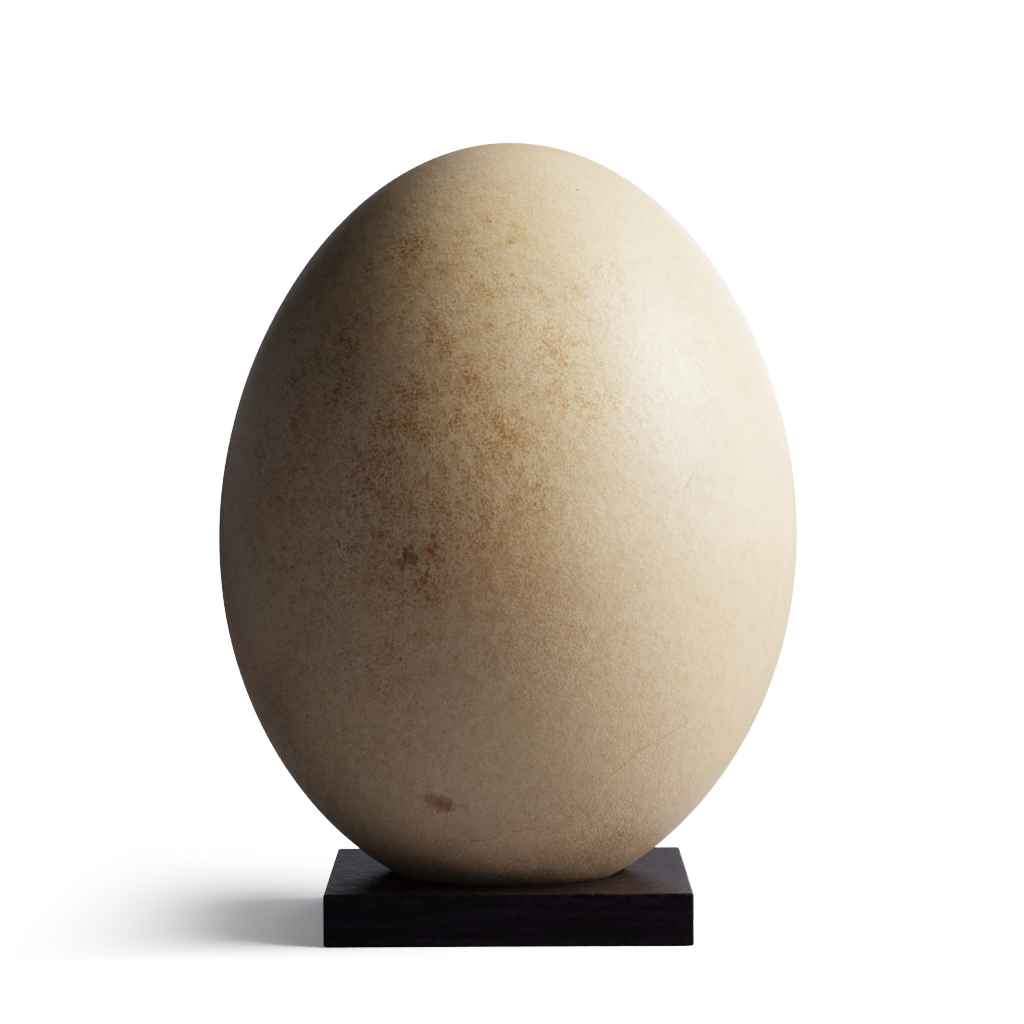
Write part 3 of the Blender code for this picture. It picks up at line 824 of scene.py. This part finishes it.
# The block: its box comes from the frame, its dish is part.py's
blockPlan = {
    "arris": 0.0009,
    "arrisWear": 0.5,
    # A painted glint along the dish's rim, laid on as pale wear
    "rimPaintedGlint": 4.0,
    "rimFade": 0.02,  # share of the way to the block's edge
    "corner": 0.0012,  # rounding of the upright corners
    "dishRim": 0.0454,
    "dishDepth": 0.0125,
    "rimRound": 0.0012,
    "cornerSteps": 6,
    "sideSteps": 44,
    "dishRings": 22,
    "topRings": 7,
    "arrisRings": 5,
    "sideRings": 5,
    "underRings": 3,
}


def squareRing(half, corner):
    # Points round a square with rounded corners, anticlockwise
    points = []
    steps = blockPlan["cornerSteps"]
    straight = blockPlan["sideSteps"]
    inner = half - corner
    for quarter in range(4):
        turn = Matrix.Rotation(quarter * pi / 2, 2)
        for step in range(steps + 1):
            angle = pi / 2 * step / steps
            points.append(turn @ Vector((inner + corner * cos(angle), inner + corner * sin(angle))))
        for step in range(1, straight):
            points.append(turn @ Vector((inner * (1 - 2 * step / straight), half)))
    return points


def circleRing(radius, guide):
    # Points on a circle, each in line with a point of the guide ring
    return [point.normalized() * radius for point in guide]


def blockRings():
    # Rings of points from the dish's rim outwards, over the arris, down the sides and under
    low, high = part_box("base")
    half = (high.x - low.x) / 2
    top = high.z
    arris = blockPlan["arris"]
    corner = blockPlan["corner"]
    guide = squareRing(half, corner)
    rim = blockPlan["dishRim"]
    depth = blockPlan["dishDepth"]
    dishRadius = (rim**2 + depth**2) / (2 * depth)
    slope = asin(rim / dishRadius)
    roundReach = blockPlan["rimRound"] * tan(slope / 2)
    rings = []
    for ring in range(1, blockPlan["dishRings"]):
        angle = slope * ring / blockPlan["dishRings"]
        height = top - depth + dishRadius * (1 - cos(angle))
        rings.append((circleRing(dishRadius * sin(angle), guide), height, 0.0))
    for step in range(blockPlan["arrisRings"] + 1):
        angle = slope * (1 - step / blockPlan["arrisRings"])
        radius = rim + roundReach - blockPlan["rimRound"] * sin(angle)
        drop = blockPlan["rimRound"] * (1 - cos(angle))
        rings.append((circleRing(radius, guide), top - drop, blockPlan["rimPaintedGlint"]))
    inside = circleRing(rim + roundReach, guide)
    edge = squareRing(half - arris, corner)
    for step in range(blockPlan["topRings"]):
        share = max(blockPlan["rimFade"], step / blockPlan["topRings"])
        rings.append(([a.lerp(b, share) for a, b in zip(inside, edge)], top, 0.0))
    for step in range(blockPlan["arrisRings"] + 1):
        angle = pi / 2 * step / blockPlan["arrisRings"]
        ring = squareRing(half - arris * (1 - sin(angle)), corner)
        rings.append((ring, top - arris * (1 - cos(angle)), blockPlan["arrisWear"]))
    for step in range(1, blockPlan["sideRings"]):
        rings.append((guide, top - arris - (top - 2 * arris) * step / blockPlan["sideRings"], 0.0))
    for step in range(blockPlan["arrisRings"] + 1):
        angle = pi / 2 * step / blockPlan["arrisRings"]
        ring = squareRing(half - arris * (1 - cos(angle)), corner)
        rings.append((ring, low.z + arris * (1 - sin(angle)), blockPlan["arrisWear"]))
    for step in range(1, blockPlan["underRings"]):
        share = 1 - step / blockPlan["underRings"]
        rings.append(([point * share for point in edge], low.z, 0.0))
    return rings, top - depth, low.z


def makeBlock(material):
    rings, dishBottom, underside = blockRings()
    count = len(rings[0][0])
    points = [Vector((0.0, 0.0, dishBottom))]
    # Each point's share of the pale edge colour: wear on the arrises, a painted glint on the dish's rim
    wearAndGlint = [0.0]
    for ring, height, worn in rings:
        for point in ring:
            points.append(Vector((point.x, point.y, height)))
            wearAndGlint.append(worn)
    points.append(Vector((0.0, 0.0, underside)))
    wearAndGlint.append(0.0)
    faces = []
    for step in range(count):
        following = (step + 1) % count
        faces.append((0, 1 + step, 1 + following))
        for ring in range(len(rings) - 1):
            near = 1 + ring * count
            far = near + count
            faces.append((near + step, far + step, far + following, near + following))
        last = 1 + (len(rings) - 1) * count
        faces.append((last + step, len(points) - 1, last + following))
    mesh = bpy.data.meshes.new("block")
    mesh.from_pydata(points, [], faces)
    mesh.shade_smooth()
    mesh.attributes.new("edgeWearAndRimGlint", "FLOAT", "POINT").data.foreach_set("value", wearAndGlint)
    mesh.materials.append(material)
    piece = bpy.data.objects.new("block", mesh)
    bpy.context.scene.collection.objects.link(piece)
    bpy.context.view_layer.update()
    return piece


# Colours are linear, and sizes in millimetres. The grain runs from side to side.
woodFinish = {
    "stain": (0.0030, 0.0014, 0.0040, 1.0),
    "figure": (0.0150, 0.0095, 0.0180, 1.0),
    # A brown added to the top face: partly its own colour, partly a painted warm sheen and reflection of the
    # egg
    "topBrownAndPaintedSheen": (0.0100, 0.0062, 0.0022, 1.0),
    "topFrom": (19.3, 20.1),
    # The pale edge colour: wear on the arrises, and a painted glint on the dish's rim
    "worn": (0.060, 0.052, 0.050, 1.0),
    "dust": (0.11, 0.10, 0.10, 1.0),
    "alongGrain": (0.06, 1.0, 1.0),
    "alongPores": (0.16, 1.0, 1.0),
    "alongDimples": (0.5, 1.0, 1.0),
    "bendSize": 9.0,
    "bend": (0.0, 4.0, 2.0),
    "figureSize": 3.5,
    "figureRange": (0.35, 0.70),
    "fibreSize": 0.4,
    "fibreHeight": 0.5,
    "dimpleSize": 3.0,
    "dimpleRange": (0.35, 0.65),
    "dimpleShade": (0.72, 1.28),
    "poreDepth": 0.6,
    "poreSink": 0.5,
    "rubSize": 2.2,
    "rubRange": (0.48, 0.68),
    "rubDepth": 0.6,
    "dustPatch": 14.0,
    "dustRange": (0.45, 0.65),
    "dustDepth": (0.1, 0.8),
    "bumpDepth": 0.00009,
    "roughRange": (0.3, 0.7),
    "roughness": (0.25, 0.42),
    "gloss": 0.19,
    "sheen": (1.0, 0.88, 0.84, 1.0),
}
dustSize = {"Cell": 3.4, "Radius": 0.16, "Share": 0.30, "Raggedness": 0.2, "Softness": 0.1}
woodPores = {"Cell": 0.9, "Radius": 0.14, "Share": 0.6, "Raggedness": 0.1, "Softness": 0.08}


def woodMaterial():
    material, tree, shader, place = newMaterial("ebonised hardwood")
    finish = woodFinish
    swerve = cloudy(tree, place, finish["bendSize"], out="Color")
    swerve = vectorSums(tree, "SUBTRACT", swerve, (0.5, 0.5, 0.5))
    bent = vectorSums(tree, "MULTIPLY_ADD", swerve, finish["bend"], place)
    along = vectorSums(tree, "MULTIPLY", bent, finish["alongGrain"])
    figure = cloudy(tree, along, finish["figureSize"], detail=6.0, roughness=0.68)
    fibre = cloudy(tree, along, finish["fibreSize"])
    patchy = vectorSums(tree, "MULTIPLY", place, finish["alongDimples"])
    dimples = cloudy(tree, patchy, finish["dimpleSize"], detail=4.0, roughness=0.75)
    colour = mixed(tree, eased(tree, figure, *finish["figureRange"]), finish["stain"], finish["figure"])
    height = addNode(tree, "ShaderNodeSeparateXYZ", {"Vector": place}).outputs["Z"]
    # The top face gets its browner colour and a painted warm sheen and reflection of the egg
    colour = mixed(tree, eased(tree, height, *finish["topFrom"]), colour, finish["topBrownAndPaintedSheen"], "ADD")
    colour = scaled(tree, colour, eased(tree, dimples, *finish["dimpleRange"], *finish["dimpleShade"]))
    strewn = vectorSums(tree, "MULTIPLY", place, finish["alongPores"])
    pores = placed(tree, specks, {"Place": strewn, **woodPores})["Mask"]
    colour = scaled(tree, colour, sums(tree, "MULTIPLY_ADD", pores, -finish["poreDepth"], 1.0))
    # Pale wear on the arrises and a painted glint on the dish's rim, broken up by noise
    edge = addNode(tree, "ShaderNodeAttribute", attribute_name="edgeWearAndRimGlint").outputs["Fac"]
    paintedLightAndWear = cloudy(tree, place, finish["rubSize"], detail=4.0, roughness=0.7)
    paintedLightAndWear = eased(tree, paintedLightAndWear, *finish["rubRange"], 0.0, finish["rubDepth"])
    colour = mixed(tree, sums(tree, "MULTIPLY", edge, paintedLightAndWear, clamp=True), colour, finish["worn"])
    dust = placed(tree, specks, {"Place": place, **dustSize})["Mask"]
    settled = cloudy(tree, place, finish["dustPatch"])
    settled = eased(tree, settled, *finish["dustRange"], *finish["dustDepth"])
    colour = mixed(tree, sums(tree, "MULTIPLY", dust, settled), colour, finish["dust"])
    relief = sums(tree, "MULTIPLY_ADD", fibre, finish["fibreHeight"], figure)
    relief = sums(tree, "MULTIPLY_ADD", pores, -finish["poreSink"], relief)
    relief = sums(tree, "ADD", dimples, relief)
    rough = eased(tree, dimples, *finish["roughRange"], *finish["roughness"])
    surfaced(tree, shader, colour, relief, finish["bumpDepth"], rough)
    shader.inputs["Specular IOR Level"].default_value = finish["gloss"]
    shader.inputs["Specular Tint"].default_value = finish["sheen"]
    return material


egg = makeEgg(shellMaterial())
for fieldName in stainPlan:
    paintField(egg, fieldName)
print("egg made:", len(egg.data.polygons), "faces")
block = makeBlock(woodMaterial())
print("block made:", len(block.data.polygons), "faces")

# The studio's lights: azimuth from the front towards +X and elevation, in degrees, how far away and how
# wide and high, in metres, power in watts, and tint
lightPlan = {
    "keyCore": (79, 33, 1.3, (0.27, 0.27), 4.3, "plain"),
    "key": (75, 28, 1.3, (0.8, 0.8), 19.0, "plain"),
    "keySide": (95, 25, 1.3, (0.9, 0.9), 7.3, "plain"),
    "keyHigh": (85, 45, 1.3, (0.8, 0.8), 9.45, "plain"),
    "keyLow": (100, 10, 1.3, (0.9, 0.4), 3.55, "plain"),
    "wrap": (40, 8, 1.5, (0.7, 0.3), 1.34, "plain"),
    "frontFill": (-30, 5, 1.8, (0.8, 0.3), 0.83, "cool"),
    "leftFill": (-60, 10, 1.8, (0.8, 0.5), 0.92, "cool"),
    "leftHigh": (-60, 25, 1.8, (0.8, 0.5), 0.35, "cool"),
    "leftBack": (-115, 15, 1.6, (0.8, 0.5), 0.19, "cool"),
    "rim": (-140, 6, 1.6, (0.8, 0.3), 0.14, "pale"),
    "back": (180, 12, 1.8, (1.6, 0.6), 1.07, "pale"),
    "backHigh": (180, 55, 1.6, (1, 0.8), 0.74, "pale"),
    "rightBack": (155, 12, 1.8, (0.8, 0.6), 4.05, "pale"),
    "rightRim": (125, 15, 1.6, (0.8, 0.6), 1.12, "pale"),
}
lightTints = {"plain": (1.0, 1.0, 1.0), "cool": (0.875, 1.0, 1.226), "pale": (0.94, 1.0, 1.14)}
studioPlan = {
    "target": Vector((0.0, 0.0, 0.15)),
    "air": (0.002, 0.002, 0.002, 1.0),
    "floorSide": 16.0,
    "floorSeen": (1.0, 0.97, 0.93, 1.0),
    "floorLift": (2.6, 1.95),  # how bright the camera sees the floor before the block, and behind it
    "liftReach": (-0.03, 0.06),
    "farReach": (0.13, 0.26),  # metres along Y where the floor goes white behind the block, and before it
    "nearReach": (-0.076, -0.112),
    "floorGlow": 0.033,  # share of plain white that the camera sees even in the shadow
    "nearBounce": (0.275, 0.27, 0.305, 1.0),  # what the floor sends back beside the block, and farther out
    "farBounce": (0.15, 0.12, 0.13, 1.0),
    "bounceReach": (0.16, 0.52),
    "white": (3.0, 3.0, 3.0, 1.0),
    "shadowReach": (0.10, 0.193),  # metres from the block's middle where the shadow starts to fade, and ends
    "shadowShape": (1.0, 0.3, 0.0),  # the fading goes mostly by the distance to the side
}


def addLight(name, azimuth, elevation, away, size, power, tint):
    azimuth = radians(azimuth)
    elevation = radians(elevation)
    towards = Vector((cos(elevation) * sin(azimuth), -cos(elevation) * cos(azimuth), sin(elevation)))
    data = bpy.data.lights.new(name, "AREA")
    data.shape = "RECTANGLE"
    data.size, data.size_y = size
    data.energy = power
    data.color = lightTints[tint]
    light = bpy.data.objects.new(name, data)
    light.location = studioPlan["target"] + towards * away
    light.rotation_euler = (-towards).to_track_quat("-Z", "Y").to_euler()
    light.visible_camera = False
    bpy.context.scene.collection.objects.link(light)


def addAir():
    # White where the camera looks past the object, dim where it only lights it
    world = bpy.data.worlds.new("air")
    bpy.context.scene.world = world
    world.use_nodes = True
    tree = world.node_tree
    tree.nodes.clear()
    seen = addNode(tree, "ShaderNodeLightPath").outputs["Is Camera Ray"]
    dim = addNode(tree, "ShaderNodeBackground", {"Color": studioPlan["air"]}).outputs[0]
    white = addNode(tree, "ShaderNodeBackground", {"Color": studioPlan["white"]}).outputs[0]
    shown = addNode(tree, "ShaderNodeMixShader", {0: seen, 1: dim, 2: white}).outputs[0]
    addNode(tree, "ShaderNodeOutputWorld", {"Surface": shown})


def addFloor():
    # Plain pale paper: the camera sees it white, with the shadow kept close to the block
    half = studioPlan["floorSide"] / 2
    mesh = bpy.data.meshes.new("floor")
    corners = [(-half, -half, 0), (half, -half, 0), (half, half, 0), (-half, half, 0)]
    mesh.from_pydata(corners, [], [(0, 1, 2, 3)])
    floor = bpy.data.objects.new("floor", mesh)
    bpy.context.scene.collection.objects.link(floor)
    material = bpy.data.materials.new("pale paper")
    material.use_nodes = True
    tree = material.node_tree
    tree.nodes.clear()
    place = addNode(tree, "ShaderNodeTexCoord").outputs["Object"]
    away = vectorSums(tree, "LENGTH", place, out="Value")
    near, far = studioPlan["shadowReach"]
    sideways = vectorSums(tree, "MULTIPLY", place, studioPlan["shadowShape"])
    sideways = vectorSums(tree, "LENGTH", sideways, out="Value")
    share = sums(tree, "DIVIDE", sums(tree, "SUBTRACT", sideways, near), far - near, clamp=True)
    glow = studioPlan["floorGlow"]
    fading = sums(tree, "MULTIPLY_ADD", sums(tree, "MULTIPLY", share, share), 1.0 - glow, glow)
    depth = addNode(tree, "ShaderNodeSeparateXYZ", {0: place}).outputs["Y"]
    for reach in ("farReach", "nearReach"):
        fading = sums(tree, "MAXIMUM", fading, eased(tree, depth, *studioPlan[reach]))
    seen = addNode(tree, "ShaderNodeLightPath").outputs["Is Camera Ray"]
    lift = eased(tree, depth, *studioPlan["liftReach"], *studioPlan["floorLift"])
    paper = scaled(tree, studioPlan["floorSeen"][:3], lift)
    shaded = addNode(tree, "ShaderNodeBsdfDiffuse", {"Color": paper}).outputs[0]
    white = addNode(tree, "ShaderNodeEmission", {"Color": studioPlan["white"]}).outputs[0]
    shown = addNode(tree, "ShaderNodeMixShader", {0: fading, 1: shaded, 2: white}).outputs[0]
    farther = eased(tree, away, *studioPlan["bounceReach"])
    colour = mixed(tree, farther, studioPlan["nearBounce"], studioPlan["farBounce"])
    bounce = addNode(tree, "ShaderNodeBsdfDiffuse", {"Color": colour}).outputs[0]
    whole = addNode(tree, "ShaderNodeMixShader", {0: seen, 1: bounce, 2: shown}).outputs[0]
    addNode(tree, "ShaderNodeOutputMaterial", {"Surface": whole})
    mesh.materials.append(material)
    return floor


# How light becomes print: a straight foot and a long shoulder, whitest where the curve ends
tonePlan = {
    "top": 1.062,
    "contrast": 1.4123,
    "shoulder": 0.3106,
    "lights": (0.012, 0.03, 0.07, 0.15, 0.3, 0.55, 0.95, 1.6),
    "white": 3.0,
}


def setTone():
    view = bpy.context.scene.view_settings
    view.view_transform = "Standard"
    view.use_curve_mapping = True
    mapping = view.curve_mapping
    white = tonePlan["white"]
    mapping.white_level = (white, white, white)
    curve = mapping.curves[3]
    for light in tonePlan["lights"]:
        lifted = light ** tonePlan["contrast"]
        curve.points.new(light / white, tonePlan["top"] * lifted / (lifted + tonePlan["shoulder"]))
    mapping.update()


for lightName, plan in lightPlan.items():
    addLight(lightName, *plan)
addAir()
floor = addFloor()
setTone()
print("studio set")

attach(egg, "root")
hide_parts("egg")
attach(block, "root")
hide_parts("base")
